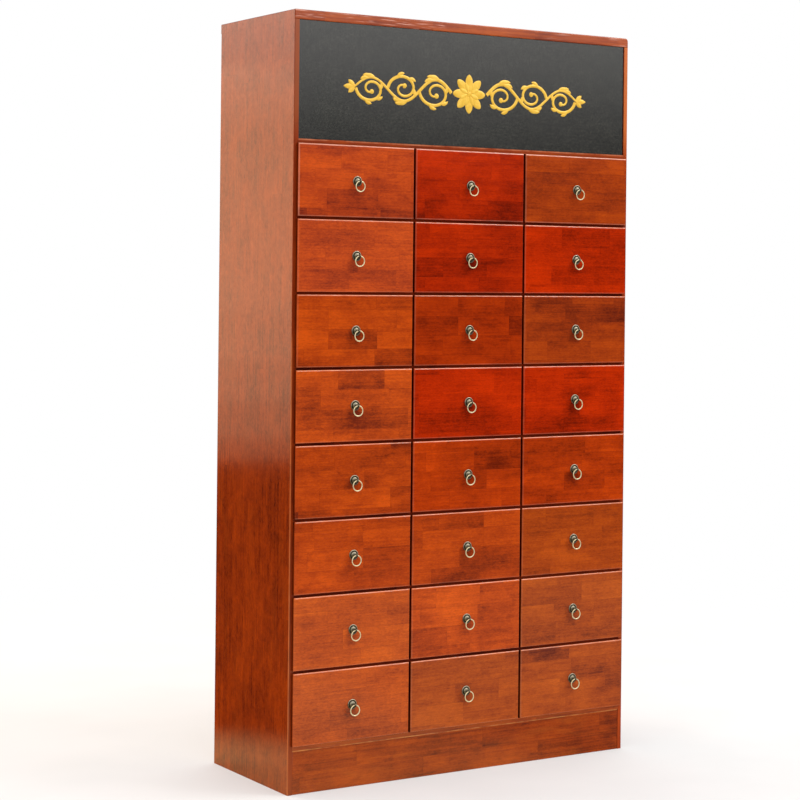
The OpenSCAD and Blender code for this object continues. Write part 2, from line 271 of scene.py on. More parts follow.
def lacquer(name, tone, along="x", seed=0.0, stave=0.048, length=0.19, blocks=1.0, smudges=1.0,
            streaks=1.0, figure=1.0, fine=1.0, thin_per_m=230.0, drift=1.0, clouds=0.0, mottle=0.0,
            gold=0.0, gloss=0.30, coat=1.0, rim=0.0, rim_highlight_tone=(238, 146, 106), pull_shadow=None, lit_ends=(),
            flecks=0.0, arris_highlight_z=None, arris_highlight_tone=(226, 150, 76), corner_highlight=None):
    """Board glued up from staves with butted ends, under clear red-brown lacquer.
    tone is its middle colour and along the axis of its grain. stave and length are the width and
    the usual length of a stave in metres. blocks to gold are the strengths of its marks."""
    t = Tree(name)
    x, y, z = t.coords()
    point = t.vec(x, y, z)
    # along the grain, across it, and through the board
    u, v, w = {"x": (x, z, y), "z": (z, y, x), "y": (y, x, z)}[along]

    # which stave and which length of it a point lies in
    across = t.times_add(t.times_add(w, 0.15, v), 1.0 / stave, seed * 3.17 + 40.0)
    row = t.math("FLOOR", across)
    row_random = t.white(t.vec(row, seed, 1.3))
    stretch = t.times_add(row_random, 0.5, 0.75)
    run = t.times(t.times(u, 1.0 / length), stretch)
    run = t.times_add(row_random, 17.0, run)
    block = t.math("FLOOR", run)
    brightness, darkened, stained = [t.white(t.vec(row, block, seed + step)) for step in (0.0, 7.7, 15.1)]
    shift = t.times(brightness, 9.0)

    def drawn_out(mark, move=shift):
        per_m_along, per_m_across, detail, rough, distort = mark
        place = t.vec(t.times_add(u, per_m_along, seed), t.times_add(v, per_m_across, move),
                      t.times(w, per_m_across * 0.5))
        return t.noise(place, 1.0, detail, rough, distort)

    grain = drawn_out(GRAIN)
    fleck = drawn_out(FLECK)
    thin = drawn_out((7.0, thin_per_m, 2.0, 0.6, 0.1))
    broad = t.noise(t.vec(t.times_add(u, 3.4, seed), t.times(v, 8.0), t.times(w, 4.0)), 1.0, 2.0, 0.5, 0.5)

    # brightness of a point, from its stave and then mark by mark
    bright = t.span(brightness, 0.0, 1.0, 1.05 - 0.13 * blocks, 1.05 + 0.13 * blocks)
    bright = t.minus(bright, t.span(darkened, 0.82, 0.86, 0.0, 0.19 * blocks))
    weights = [(drawn_out(STREAK), 0.60 * streaks), (grain, 0.30), (drawn_out(GLOW), 0.95 * figure),
               (thin, 0.32 * fine), (broad, 0.50 * drift), (drawn_out(CLOUD), 0.60 * clouds),
               (fleck, 0.60 * mottle)]
    for mark, weight in weights:
        bright = t.times_add(t.minus(mark, 0.5), weight, bright)
    blot = t.times(t.span(drawn_out(SMUDGE), 0.52, 0.74, 0.0, 0.40 * smudges, smooth=True),
                   t.span(stained, 0.0, 1.0, 0.2, 1.0))
    bright = t.minus(bright, blot)
    if pull_shadow:
        # painted shadow of the pull, below it and beside it, at (x, z)
        away = t.distance(t.times(t.minus(x, pull_shadow[0]), 1.15), t.minus(z, pull_shadow[1]))
        bright = t.minus(bright, t.span(away, 8 * MM, 34 * MM, 0.26, 0.0, smooth=True))

    red, green, blue, _ = srgb(*tone)
    dark = (red * 0.36, green * 0.33, blue * 0.9)
    light = (red * 1.56, green * 1.80, blue * 1.1)
    col = t.ramp(t.minus(bright, 0.5), [(0.0, dark), (0.5, (red, green, blue)), (1.0, light)])
    if gold:
        # paler, yellower heart in some staves
        heart = t.noise(t.vec(t.times(u, 4.0), t.times(v, 16.0), seed + 3.0), 1.0, 3.0, 0.6, 0.8)
        tint = (red * 1.45, green * 2.3, blue * 1.6 + 0.002, 1.0)
        col = t.mix(t.span(heart, 0.50, 0.72, 0.0, gold, smooth=True), col, tint)

    pore = t.span(drawn_out(PORE), 0.63, 0.73, 0.0, 0.40)
    side_joint = t.span(t.math("PINGPONG", across, 0.5), 0.0, 0.014, 0.34 * blocks, 0.0)
    end_joint = t.span(t.math("PINGPONG", run, 0.5), 0.0, 0.004, 0.34 * blocks, 0.0)
    glue_line = t.math("MAXIMUM", side_joint, end_joint)
    darkest = tuple(c * 0.5 for c in dark) + (1.0,)
    col = t.mix(t.math("MAXIMUM", pore, glue_line), col, darkest)

    for z_none, z_full, much, lit_tone in lit_ends:
        # painted light: paler towards one end, not at z_none, fully at z_full and beyond
        col = t.mix(t.span(z, z_none, z_full, 0.0, much, smooth=True), col, srgb(*lit_tone))
    # painted highlight along the rounded rims of the drawer faces
    if rim:
        col = painted_rim_highlight(t, point, col, rim, rim_highlight_tone)
    if flecks:
        # short pale streaks along the grain
        where = t.noise(point, 7.0, 2.0, 0.5)
        amount = t.times(t.span(drawn_out(PALE_STREAK, 0.0), 0.56, 0.66, 0.0, flecks), t.span(where, 0.42, 0.60))
        col = t.mix(amount, col, srgb(*PALE_STREAK_TONE))
    # painted highlight along a long arris
    if arris_highlight_z is not None:
        col = painted_arris_highlight(t, x, z, col, arris_highlight_z, arris_highlight_tone)
    # painted highlight along an upright corner
    if corner_highlight:
        col = painted_corner_highlight(t, x, y, z, col, *corner_highlight)
    t.put(t.shader.inputs["Base Color"], col)

    # the lacquer is the coat, so the wood below it has no gloss of its own
    patch = t.noise(point, 6.0, 3.0, 0.6)
    rough = t.span(patch, 0.25, 0.75, gloss * 0.85, gloss * 1.25)
    t.put(t.shader.inputs["Roughness"], t.times_add(grain, 0.10, rough))
    t.shader.inputs["Specular IOR Level"].default_value = 0.0
    t.put(t.shader.inputs["Coat Weight"], t.span(fleck, 0.3, 0.7, coat * (1.0 - 0.14 * mottle), coat))
    t.shader.inputs["Coat Roughness"].default_value = 0.11
    ripple = t.noise(t.vec(t.times(u, 7.0), t.times(v, 22.0), t.times(w, 22.0)), 1.0, 2.0, 0.5)
    soft = t.bump(ripple, 0.20, 1.0 * MM)
    t.put(t.shader.inputs["Normal"], t.bump(t.minus(grain, pore), 0.16, 0.4 * MM, soft))
    t.put(t.shader.inputs["Coat Normal"], soft)
    return t.material


def raw_wood(name, light, dark, along="y", seed=0.0, rough=0.6):
    """Plain board or plywood with a fine straight grain."""
    t = Tree(name)
    x, y, z = t.coords()
    u, v, w = {"x": (x, z, y), "y": (y, z, x), "z": (z, x, y)}[along]
    broad = t.vec(t.times(u, 1.6), t.times_add(v, 28.0, seed), t.times(w, 28.0))
    narrow = t.vec(t.times(u, 14.0), t.times(v, 420.0), t.times(w, 420.0))
    figure = t.noise(broad, 1.0, 4.0, 0.6, 0.8)
    grain = t.noise(narrow, 1.0, 3.0, 0.6)
    tone = t.times_add(grain, 0.4, t.times(figure, 0.8))
    t.put(t.shader.inputs["Base Color"], t.ramp(tone, [(0.3, dark), (0.8, light)]))
    t.put(t.shader.inputs["Roughness"], t.span(figure, 0.2, 0.8, rough * 0.85, rough * 1.15))
    t.put(t.shader.inputs["Normal"], t.bump(grain, 0.2, 0.4 * MM))
    return t.material


def aged_metal(name, base, dark, light, rough=0.35, metal=0.9, edge_weight=0.45):
    """Antique plated metal: dark in the hollows, and bright where its attribute 'edge' says; on the pulls
    and rings 'edge' also holds painted light and shade.
    """
    t = Tree(name)
    point = t.vec(*t.coords())
    patina = t.noise(point, 160.0, 4.0, 0.6, 0.3)
    fine = t.noise(point, 960.0, 2.0, 0.5)
    edge = t.node("ShaderNodeAttribute", attribute_name="edge")
    tone = t.times_add(edge.outputs["Fac"], edge_weight, t.span(patina, 0.3, 0.7, 0.0, 0.95 - edge_weight))
    t.put(t.shader.inputs["Base Color"], t.ramp(tone, [(0.0, dark), (0.45, base), (1.0, light)]))
    t.shader.inputs["Metallic"].default_value = metal
    t.put(t.shader.inputs["Roughness"], t.span(fine, 0.2, 0.8, rough * 0.8, rough * 1.4))
    t.put(t.shader.inputs["Normal"], t.bump(patina, 0.15, 0.3 * MM))
    return t.material


# Materials
# painted highlight along the left front corner: its x and y, up to which height, and how much
CORNER_HIGHLIGHT = (LEFT, FRONT + 1.2 * MM, 1.12, 0.5)
UPRIGHT = dict(along="z", stave=0.062)
INNER = dict(gloss=0.45, coat=0.2)
M_SIDE = lacquer("side_lacquer", (133, 43, 4), seed=2.0, length=0.42, blocks=0.3, smudges=0.6,
                 figure=0.7, gold=0.2, fine=1.8, thin_per_m=150.0, drift=1.1, clouds=1.2, mottle=1.8,
                 corner_highlight=CORNER_HIGHLIGHT, **UPRIGHT)
# the front edges of the sides are painted paler beside the sign, and the left one also beside the plinth:
# painted light where the proud drawer faces cast no shade
M_EDGE_L = lacquer("left_edge_lacquer", (128, 42, 10), seed=12.0, length=0.45, blocks=1.2, figure=1.2,
                   lit_ends=[(1.60, 1.72, 0.6, (160, 84, 44)), (0.20, 0.08, 0.5, (160, 66, 24))],
                   corner_highlight=CORNER_HIGHLIGHT, **UPRIGHT)
M_EDGE_R = lacquer("right_edge_lacquer", (146, 52, 19), seed=13.0, length=0.45, blocks=1.2, figure=1.2,
                   lit_ends=[(1.60, 1.72, 0.7, (206, 112, 52))], **UPRIGHT)
M_TOP = lacquer("top_front_lacquer", (158, 70, 34), seed=5.0, stave=0.055, length=0.40,
                blocks=0.5, smudges=0.6, streaks=2.0, flecks=0.75)
M_LID = lacquer("top_lacquer", (140, 50, 12), seed=5.0, stave=0.055, length=0.40,
                blocks=0.6, smudges=0.8, clouds=0.8, mottle=1.0, drift=1.1)
M_PLINTH = lacquer("plinth_lacquer", (150, 57, 14), seed=9.0, stave=0.052, length=0.30,
                   blocks=0.7, streaks=1.4, figure=1.3, gold=0.3, fine=1.3, drift=1.2, clouds=0.8,
                   mottle=1.1, arris_highlight_z=plinth_hi[2])
M_RAIL = lacquer("rail_lacquer", (150, 58, 22), seed=6.0, stave=0.055, length=0.40, blocks=0.5,
                 arris_highlight_z=sign_lo[2] - 1 * MM, arris_highlight_tone=(204, 122, 84))
# the floor panel's front edge is painted paler than its wood: painted light in the shade under the drawer
# faces
M_SILL = lacquer("sill_lacquer", (172, 76, 32), seed=7.0, blocks=0.5)
# dark tones for the drawer faces' side walls, top and bottom edges, the shelves and the dividers: painted
# shade of the gaps between the drawers; the outer column's left walls get a less dark one
M_DEEP = lacquer("inner_lacquer", (62, 14, 5), seed=3.0, **INNER)
M_GAP = lacquer("gap_lacquer", (118, 36, 15), seed=3.5, **INNER)
M_DEEPZ = lacquer("inner_lacquer_upright", (62, 14, 5), along="z", seed=4.0, **INNER)
M_END = lacquer("outer_end_lacquer", (92, 27, 6), along="z", seed=8.0, gloss=0.45, coat=0.3)
M_BOX = raw_wood("box_wood", srgb(206, 172, 128), srgb(168, 128, 84))
M_BOX_X = raw_wood("box_wood_across", srgb(206, 172, 128), srgb(168, 128, 84), along="x", seed=3.0)
M_PLY = raw_wood("ply", srgb(196, 160, 116), srgb(160, 120, 78), along="z", rough=0.7)
M_PULL = aged_metal("antique_plate", srgb(118, 110, 90), srgb(22, 18, 14), srgb(226, 218, 192), rough=0.34,
                    metal=0.7, edge_weight=0.8)
M_RING = aged_metal("pale_ring", srgb(206, 190, 142), srgb(64, 50, 28), srgb(250, 238, 196), rough=0.28,
                    metal=0.5, edge_weight=0.8)
M_STEEL = aged_metal("zinc", srgb(176, 178, 182), srgb(120, 122, 126), srgb(214, 216, 220), rough=0.32)

# lacquer tones of the drawer faces, and which drawer has which, with how marked its staves are
TONES = {
    "honey": (180, 76, 28),
    "clay": (180, 69, 21),
    "brick": (162, 70, 27),
    "rose": (182, 70, 29),
    "sienna": (171, 62, 24),
    "amber": (168, 60, 14),
    "cherry": (158, 34, 2),
    "scarlet": (172, 38, 1),
    "russet": (148, 52, 14),
    "chestnut": (150, 42, 5),
    "copper": (164, 50, 6),
    "umber": (158, 62, 16),
}
BOLDNESS = {"calm": 0.65, "bold": 1.2}
FACES = [
    ["sienna bold", "cherry bold", "russet"],
    ["rose calm", "cherry", "scarlet calm"],
    ["amber bold", "chestnut bold", "russet"],
    ["clay", "scarlet calm", "scarlet"],
    ["amber bold", "copper", "copper"],
    ["amber bold", "amber", "umber calm"],
    ["honey calm", "clay bold", "brick calm"],
    ["honey calm", "brick calm", "brick"],
]


def face_material(r, c):
    lo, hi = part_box(f"drawer_r{r}c{c}")
    # the pull's painted shadow lies a little left of the pull and below it
    pull_shadow = ((lo[0] + hi[0]) / 2 - 5 * MM, (lo[2] + hi[2]) / 2 - 17 * MM)
    tone, *mood = FACES[r - 1][c - 1].split()
    bold = BOLDNESS[mood[0]] if mood else 1.0
    # the rims' painted highlight is paler and whiter on the top row
    rim_highlight_tone = (244, 172, 140) if r == 1 else (238, 146, 106)
    return lacquer(f"face_lacquer_r{r}c{c}", TONES[tone], seed=(r * 3 + c) * 1.37, stave=0.050, length=0.17,
                   blocks=0.85 * bold, smudges=0.5 * bold, streaks=0.6, figure=0.3 + 0.4 * bold, fine=1.3,
                   drift=0.6 + 1.3 * bold, clouds=0.4 + 0.4 * bold, mottle=1.2, rim=0.8,
                   rim_highlight_tone=rim_highlight_tone, pull_shadow=pull_shadow)


def sign_material():
    """Black lacquer, rubbed to a satin, with faint strokes of the brush along it."""
    t = Tree("sign_lacquer")
    x, y, z = t.coords()
    point = t.vec(x, y, z)
    cloud = t.noise(point, 3.0, 3.0, 0.5, 0.2)
    bloom = t.noise(t.vec(t.times(x, 0.6), y, z), 22.0, 3.0, 0.6, 0.4)
    speck = t.noise(point, 90.0, 3.0, 0.8, 0.2)
    grit = t.noise(point, 220.0, 2.0, 0.6)
    brush = t.noise(t.vec(t.times(x, 12.0), y, t.times(z, 420.0)), 1.0, 3.0, 0.6)
    dust = t.noise(point, 900.0, 2.0, 0.5)
    # a dull bloom in the lacquer, from cloudy to as fine as grit
    dull = t.times_add(bloom, 0.13, t.times(speck, 0.22))
    dull = t.times_add(grit, 0.65, dull)
    col = t.ramp(dull, [(0.34, srgb(1, 1, 1)), (0.50, srgb(27, 27, 23)), (0.66, srgb(60, 59, 52))])
    col = t.mix(t.span(dust, 0.66, 0.76, 0.0, 0.25), col, srgb(92, 88, 80))
    t.put(t.shader.inputs["Base Color"], col)
    t.shader.inputs["IOR"].default_value = 1.62
    t.shader.inputs["Specular IOR Level"].default_value = 1.0
    t.put(t.shader.inputs["Roughness"], t.times_add(brush, 0.06, t.span(cloud, 0.3, 0.7, 0.11, 0.14)))
    t.put(t.shader.inputs["Normal"], t.bump(t.math("ADD", brush, dust), 0.03, 0.4 * MM))
    return t.material


def gold_material():
    """Gilding with a faint unevenness."""
    t = Tree("gilding")
    point = t.vec(*t.coords())
    leaf_tone = t.noise(point, 60.0, 4.0, 0.6, 0.4)
    grainy = t.noise(point, 700.0, 2.0, 0.5)
    col = t.ramp(leaf_tone, [(0.3, srgb(236, 184, 52)), (0.7, srgb(250, 204, 82))])
    t.put(t.shader.inputs["Base Color"], col)
    t.shader.inputs["Metallic"].default_value = 0.15
    t.put(t.shader.inputs["Roughness"], t.span(leaf_tone, 0.3, 0.7, 0.3, 0.42))
    t.put(t.shader.inputs["Normal"], t.bump(grainy, 0.12, 0.3 * MM))
    return t.material


M_SIGN = sign_material()
M_GOLD = gold_material()


def mark(ob, value_at):
    """Gives ob the float attribute 'edge', worked out from each vertex's place."""
    values = [value_at(v.co) for v in ob.data.vertices]
    ob.data.attributes.new("edge", "FLOAT", "POINT").data.foreach_set("value", values)


# Carcass
PANEL_EDGE_R = 2.5 * MM
PANEL_FOOT_R = 3.0 * MM
LONG = 100 * MM


def side_panel(name, node, mat, edge_mat, outer_left):
    """Panel whose outer side has rounded upright edges and foot; edge_mat is for its front edge."""
    lo, hi = (Vector(v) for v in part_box(node))
    bm = bmesh.new()
    add_box(bm, lo, hi)
    outer_x = lo.x if outer_left else hi.x
    near = 0.1 * MM
    round_edges(bm, list(bm.verts), PANEL_EDGE_R,
                lambda a, b: abs(a.x - outer_x) < EPS and abs(b.x - outer_x) < EPS and abs(a.z - b.z) > LONG)
    round_edges(bm, list(bm.verts), PANEL_FOOT_R,
                lambda a, b: abs(a.x - outer_x) < near and abs(b.x - outer_x) < near
                and max(a.z, b.z) < lo.z + EPS and abs(a.y - b.y) > LONG)
    for f in bm.faces:
        f.normal_update()
        f.material_index = 1 if f.normal.y < -0.6 else 0
    new_object(name, bm, [mat, edge_mat], "carcass", [node])


side_panel("side_left", "left_side_panel", M_SIDE, M_EDGE_L, True)
side_panel("side_right", "right_side_panel", M_SIDE, M_EDGE_R, False)


# the top's left end is almost sharp and its right end well rounded
TOP_LEFT_R, TOP_RIGHT_R, TOP_FRONT_R = 2.5 * MM, 9 * MM, 2.5 * MM


def top_board():
    lo, hi = Vector(top_lo), Vector(top_hi)
    bm = bmesh.new()
    add_box(bm, lo, hi)
    for end_x, r in ((lo.x, TOP_LEFT_R), (hi.x, TOP_RIGHT_R)):
        round_edges(bm, list(bm.verts), r,
                    lambda a, b: abs(a.x - end_x) < EPS and abs(b.x - end_x) < EPS
                    and min(a.z, b.z) > hi.z - EPS, 6)
    round_edges(bm, list(bm.verts), TOP_FRONT_R, lambda a, b: max(a.y, b.y) < lo.y + EPS)
    for f in bm.faces:
        f.normal_update()
        at_end, in_front = abs(f.normal.x) > 0.6, f.normal.y < -0.1
        f.material_index = 1 if at_end else 0 if in_front else 2
    new_object("top", bm, [M_TOP, M_SIDE, M_LID], "carcass", ["top_board"])


top_board()


def plain_board(name, node, mat, r):
    """Board with rounded front edges."""
    lo, hi = (Vector(v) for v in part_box(node))
    bm = bmesh.new()
    verts = add_box(bm, lo, hi)
    round_edges(bm, verts, r, lambda a, b: max(a.y, b.y) < lo.y + EPS)
    new_object(name, bm, [mat], "carcass", [node])


plain_board("plinth", "plinth_board", M_PLINTH, 2.0 * MM)
plain_board("sign", "sign_board", M_SIGN, 0.6 * MM)


# Gilt ornament of the sign: a blossom between two running leaf scrolls
SIGN_Y = sign_lo[1]
ROOT_Y = SIGN_Y + 0.3 * MM
SCROLL_Z = 1772 * MM
SCROLL_FROM, SCROLL_TO = 56 * MM, 350 * MM
WAVES, SWING = 1.5, 33 * MM
CURL_TURNS, CURL_STEPS, STEM_STEPS = 1.3, 60, 120
# a stroke's section: sideways as a share of its half width, outwards as a share of its rise
SECTION = [(-1.0, 0.0), (-0.9, 0.55), (-0.5, 0.88), (0.0, 1.0), (0.5, 0.88), (0.9, 0.55), (1.0, 0.0)]
# leaves: where on the curl (step) or on the stem (share of a wave), how far they turn away, length in mm
CURL_LEAVES = [(8, 0.7, 26), (15, 0.75, 24), (23, 0.8, 20)]
CREST_LEAVES = [(-0.040, 0.35, 36), (-0.004, 0.62, 30), (0.034, 0.5, 25)]
TIP_LEAVES = [(-0.75, 24), (0.0, 32), (0.75, 24)]
PETALS = 8


def stroke(bm, points, halves, rise):
    """Raised strip with a rounded back along (x, z) points; halves are its half widths."""
    rows = []
    for i, point in enumerate(points):
        before, after = points[max(i - 1, 0)], points[min(i + 1, len(points) - 1)]
        ahead = (after - before).normalized()
        across = Vector((-ahead.y, ahead.x))
        row = []
        for sideways, outwards in SECTION:
            at = point + across * (sideways * halves[i])
            lift = rise * outwards * min(1.0, 0.35 + halves[i] / (2.5 * MM))
            row.append(bm.verts.new((at.x, ROOT_Y - lift, at.y)))
        rows.append(row)
    for a, b in zip(rows, rows[1:]):
        for j in range(len(SECTION) - 1):
            bm.faces.new([a[j], b[j], b[j + 1], a[j + 1]])
    bm.faces.new(rows[0])
    bm.faces.new(rows[-1][::-1])


def leaf(bm, root, heading, length, half, bend=0.0, rise=2.0 * MM, blunt=0.75, steps=18):
    """Almond-shaped leaf or petal that turns by bend (radians) over its length."""
    points, halves = [], []
    point = Vector(root)
    for i in range(steps + 1):
        t = i / steps
        points.append(point.copy())
        halves.append(max(half * math.sin(math.pi * min(1.0, 0.08 + 0.92 * t)) ** blunt, 0.25 * MM))
        turn = heading + bend * t
        point += Vector((math.cos(turn), math.sin(turn))) * (length / steps)
    stroke(bm, points, halves, rise)


def boss(bm, x, z, radius, rise):
    """Low round button."""
    profile = [(radius, 0.0), (radius * 0.92, rise * 0.55), (radius * 0.6, rise * 0.9), (0.0, rise)]
    lathe(bm, profile, Vector((x, ROOT_Y, z)), 28)


def scroll_side(bm, s):
    """One wavy stem with curls and leaves; s is +1 to the right and -1 to the left."""
    length_x = SCROLL_TO - SCROLL_FROM
    quarter = length_x / (4 * WAVES)

    def stem(t):
        swing = SWING * (1.0 - 0.25 * t) * math.sin(2 * math.pi * WAVES * t)
        return Vector((s * (SCROLL_FROM + length_x * t), SCROLL_Z + swing))

    def leaf_at(root, ahead, side, turn, length, half, bend, size):
        heading = math.atan2(ahead.y, ahead.x) + s * side * turn
        leaf(bm, root, heading, length * MM * size, half * size, -s * side * bend)

    steps = range(STEM_STEPS + 1)
    stroke(bm, [stem(i / STEM_STEPS) for i in steps], [(5.0 - 2.2 * i / STEM_STEPS) * MM for i in steps],
           2.0 * MM)
    for k in range(round(2 * WAVES)):
        side = 1 if k % 2 == 0 else -1
        centre = Vector((s * (SCROLL_FROM + quarter * (2 * k + 1)), SCROLL_Z - side * 3 * MM))
        size = 1.0 - 0.05 * k
        # a curl that starts where the stem crosses the middle and winds into the hollow
        curl, halves = [], []
        for i in range(CURL_STEPS + 1):
            done = i / CURL_STEPS
            a = -2 * math.pi * CURL_TURNS * i / CURL_STEPS
            rad = (quarter + 1 * MM) * size * (1.0 - 0.80 * done ** 0.8)
            curl.append(centre + Vector((s * rad * math.cos(a), side * 0.82 * rad * math.sin(a))))
            halves.append((4.6 - 2.0 * i / CURL_STEPS) * MM)
        stroke(bm, curl, halves, 1.9 * MM)
        boss(bm, curl[-1].x, curl[-1].y, 7.0 * MM * size, 2.2 * MM)
        # leaves on the outer side of the curl and over the crest of the stem
        for i, turn, length in CURL_LEAVES:
            leaf_at(curl[i], curl[i + 1] - curl[i], side, turn, length, 5.4 * MM, 1.0, size)
        for t, turn, length in CREST_LEAVES:
            t += (2 * k + 1) / (4 * WAVES)
            leaf_at(stem(t), stem(t + 0.004) - stem(t - 0.004), side, turn, length, 5.6 * MM, 0.9, size)
    for turn, length in TIP_LEAVES:
        leaf(bm, stem(1.0), turn if s > 0 else math.pi + turn, length * MM, 7.0 * MM)


def sign_ornament():
    bm = bmesh.new()
    scroll_side(bm, 1)
    scroll_side(bm, -1)

    def around(radius, a):
        return Vector((radius * math.cos(a), SCROLL_Z + radius * math.sin(a)))

    for i in range(PETALS):
        a = 2 * math.pi * i / PETALS
        leaf(bm, around(12 * MM, a), a, 39 * MM, 12 * MM, rise=1.7 * MM, blunt=0.55)
    for i in range(PETALS):
        a = 2 * math.pi * (i + 0.5) / PETALS
        leaf(bm, around(7 * MM, a), a, 24 * MM, 7.5 * MM, rise=2.2 * MM, blunt=0.6)
    boss(bm, 0.0, SCROLL_Z, 9 * MM, 2.5 * MM)
    for i in range(PETALS):
        at = around(6.2 * MM, 2 * math.pi * i / PETALS)
        boss(bm, at.x, at.y, 1.5 * MM, 2.7 * MM)
    new_object("sign_ornament", bm, [M_GOLD], "carcass", sharp=50)


sign_ornament()


# The CAD nodes that are right as they are get their finish here
def finish_node(node, mat):
    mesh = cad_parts[node].data
    if not mesh.materials:
        mesh.materials.append(mat)
    for i in range(len(mesh.materials)):
        mesh.materials[i] = mat


finish_node("sign_rail", M_RAIL)
# the floor panel's front edge is painted paler: painted light
finish_node("floor_panel", M_SILL)
# the shelves and dividers are dark with the painted shade of the gaps
finish_node("drawer_shelves", M_GAP)
finish_node("left_divider", M_DEEPZ)
finish_node("right_divider", M_DEEPZ)
finish_node("back_panel", M_PLY)
finish_node("back_panel_screws", M_STEEL)


# Drawers
FACE_T = 10 * MM
FACE_R = 3.5 * MM
LAP_CLEAR = 0.3 * MM
FACE_Y = FRONT - LAP_CLEAR - FACE_T
RIM_END = 5 * MM
FIT = 0.1 * MM
BOX_T = 9 * MM
BOX_H = 150 * MM
BOX_IN_X, BOX_UP_Z = 5.5 * MM, 4.55 * MM
BOTTOM_UP, BOTTOM_T = 8 * MM, 4 * MM
BOTTOM_IN = 5.1 * MM
SCREW_X = 110 * MM
REACH = 15 * MM
RING_R = 13 * MM
WIRE_R = 1.5 * MM

# radius and height of turned profiles, in mm from the face
ROSETTE = [(2.1, 0.1), (12.4, 0.1), (13.0, 0.6), (13.0, 1.3), (12.6, 1.9), (11.8, 2.1), (11.0, 1.8),
           (10.5, 1.0), (9.6, 0.6), (8.8, 0.8), (8.2, 1.8), (7.7, 2.9), (6.7, 3.8), (5.6, 4.3), (4.3, 4.6),
           (2.1, 4.7)]
STEM = [(0.0, -26), (2.0, -26), (2.0, 4.5), (2.6, 4.5), (2.6, 6.2), (2.9, 6.8), (2.9, 7.4), (2.5, 8.0),
        (2.3, 10.6), (2.5, 11.6), (0.0, 11.9)]
SCREW_HEAD = [(0.0, -2.0), (1.9, -1.95), (3.0, -1.5), (3.6, -0.6), (3.6, 0.0), (0.0, 0.0)]


def in_mm(profile):
    return [(r * MM, h * MM) for r, h in profile]


def plate_shade_and_patina(dx, dz, h):
    """How bright a point of the pull is painted: its grooves hold dark patina, and the rest is painted
    lighter on its upper side and darker below, as painted light and shade from above. All in mm, dx and dz
    from the pull's axis, h from the face."""
    rad = math.hypot(dx, dz)
    up = max(0.0, min(1.0, 0.5 + 0.5 * dz / max(rad, 1.0)))
    if h > 5.5:
        return 0.40 * up
    if rad > 10.8:
        return 0.25 + 0.65 * up
    if rad > 8.1:
        return 0.0
    return 0.30 + 0.42 * up


def left_rim_highlight(r, c):
    """Painted highlight on a face's left rim: strong on the outer column's top rows, faint below them, and
    even in the other columns.
    """
    if c > 1:
        return 0.22
    return {1: 0.5, 2: 0.3, 3: 0.2}.get(r, 0.04)


def face_board(r, c, body, node, lo, hi):
    bm = bmesh.new()
    verts = add_box(bm, lo, hi)
    round_edges(bm, verts, FACE_R, lambda a, b: max(a.y, b.y) < lo.y + EPS, 5)
    # loops near the corners, so that the painted highlight of a rim keeps to its own side
    for axis in (0, 2):
        across = Vector([1.0 if i == axis else 0.0 for i in range(3)])
        for at in (lo[axis] + RIM_END, hi[axis] - RIM_END):
            bmesh.ops.bisect_plane(bm, geom=list(bm.verts) + list(bm.edges) + list(bm.faces),
                                   plane_co=across * at, plane_no=across)
    # the face's side walls and its top and bottom edges take the dark tones of painted shade in the gaps
    for f in bm.faces:
        f.normal_update()
        if abs(f.normal.y) > 0.1:
            f.material_index = 0
        elif abs(f.normal.z) > 0.9:
            f.material_index = 1
        else:
            f.material_index = 3 if c == 1 and f.normal.x < 0.0 else 2
    face = new_object(f"face_r{r}c{c}", bm, [face_material(r, c), M_GAP, M_DEEP, M_END], body, [node])
    # painted highlight on each rim of the face: top, left, right and bottom
    top, left, right, bottom = 1.0, left_rim_highlight(r, c), 0.03, 0.28

    def rim_highlight_at(co):
        sides = ((top, hi.z - co.z), (left, co.x - lo.x), (right, hi.x - co.x), (bottom, co.z - lo.z))
        highlights = [edge_weight for edge_weight, inwards in sides if 0.08 * FACE_R < inwards < 0.75 * FACE_R]
        return max(highlights) if highlights and co.y < lo.y + 0.95 * FACE_R else 0.0

    mark(face, rim_highlight_at)


def box_boards(r, c, body, node, lo, hi):
    """The drawer's box: two sides, front and back between them, and a bottom let into all four."""
    bm = bmesh.new()

    def top_edge(a, b):
        return min(a.z, b.z) > hi.z - EPS

    for x0 in (lo.x, hi.x - BOX_T):
        verts = add_box(bm, (x0, lo.y, lo.z), (x0 + BOX_T, hi.y, hi.z))
        round_edges(bm, verts, 1.0 * MM, top_edge, 2)
    for y0 in (lo.y, hi.y - BOX_T):
        verts = add_box(bm, (lo.x + BOX_T + FIT, y0, lo.z), (hi.x - BOX_T - FIT, y0 + BOX_T, hi.z), 1)
        round_edges(bm, verts, 1.0 * MM, top_edge, 2)
    add_box(bm, (lo.x + BOTTOM_IN, lo.y + BOTTOM_IN, lo.z + BOTTOM_UP),
            (hi.x - BOTTOM_IN, hi.y - BOTTOM_IN, lo.z + BOTTOM_UP + BOTTOM_T))
    new_object(f"box_r{r}c{c}", bm, [M_BOX, M_BOX_X], body, [node])


def torus(bm, centre, radius, wire, axis, turns=64, sides=14, widen=1.0):
    """Ring about an axis vector, its wire widened along the axis."""
    along = axis.normalized()
    first = along.orthogonal().normalized()
    second = along.cross(first)
    rings = []
    for i in range(turns):
        a = 2 * math.pi * i / turns
        outwards = first * math.cos(a) + second * math.sin(a)
        ring = []
        for j in range(sides):
            b = 2 * math.pi * j / sides
            ring.append(bm.verts.new(centre + outwards * (radius + wire * math.cos(b))
                                     + along * (wire * widen * math.sin(b))))
        rings.append(ring)
    for i in range(turns):
        here, there = rings[i], rings[(i + 1) % turns]
        for j in range(sides):
            k = (j + 1) % sides
            bm.faces.new([here[j], there[j], there[k], here[k]])


